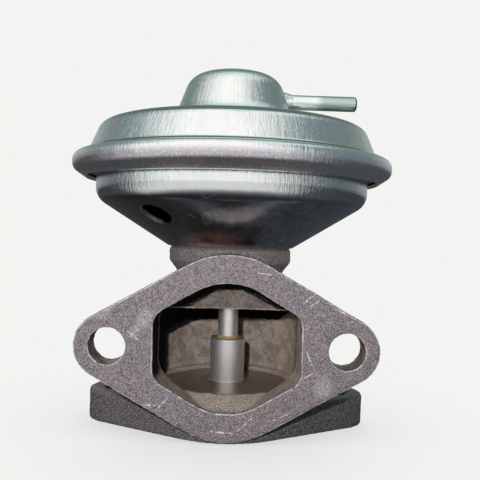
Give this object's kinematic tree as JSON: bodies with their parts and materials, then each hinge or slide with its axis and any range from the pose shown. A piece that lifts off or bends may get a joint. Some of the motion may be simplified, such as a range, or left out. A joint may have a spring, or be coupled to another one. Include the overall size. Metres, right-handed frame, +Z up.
{
  "type": "egr valve",
  "caption": "Vacuum-operated exhaust recirculation valve: iron body with two diamond flanges, six-sided outlet, lifting poppet and a rim-rolled steel vacuum capsule.",
  "frame": {"origin": "on the valve stem's axis, in the mounting face of the inlet flange underneath", "axes": "+Z up along the stem towards the capsule; -Y out of the outlet flange; the vacuum tube points along +X"},
  "size_m": [0.086, 0.086, 0.0945],
  "materials": {
    "cast_iron": "sandblasted grey iron casting",
    "seat_steel": "machined steel, heat-tinted",
    "turned_steel": "satin turned steel",
    "braze": "brass-coloured braze",
    "braze_plated": "plated braze",
    "bronze": "sintered bronze",
    "packing": "graphite packing",
    "gasket": "dark sheet gasket",
    "zinc_plate": "drawn sheet steel, zinc plated",
    "fastener": "zinc-plated fastener",
    "rubber": "fabric-backed rubber",
    "spring_steel": "bright spring wire"
  },
  "bodies": {
    "housing": {"valve_body": "cast_iron", "valve_seat_ring": "seat_steel", "stem_guide_bush": "bronze", "stem_seal": "packing", "seal_retainer": "zinc_plate", "shell_gasket": "gasket", "lower_shell": "zinc_plate", "screw_washers": "fastener", "shell_screws": "fastener", "diaphragm": "rubber", "return_spring": "spring_steel", "spring_seat": "zinc_plate", "upper_shell": "zinc_plate", "vacuum_tube": "zinc_plate", "tube_braze": "braze_plated"},
    "valve": {"poppet": "turned_steel", "valve_stem": "turned_steel", "braze_ring": "braze", "lower_diaphragm_plate": "zinc_plate", "spring_cup": "zinc_plate", "clamp_washer": "fastener", "stem_nut": "fastener"}
  },
  "joints": [
    {"name": "poppet_lift", "type": "slide", "parent": "housing", "child": "valve", "axis": [0, 0, 1], "range_m": [0, 0.0055], "stiffness_N_per_m": 2500, "springref_m": -0.012, "deforming": ["return_spring", "diaphragm"]}
  ]
}
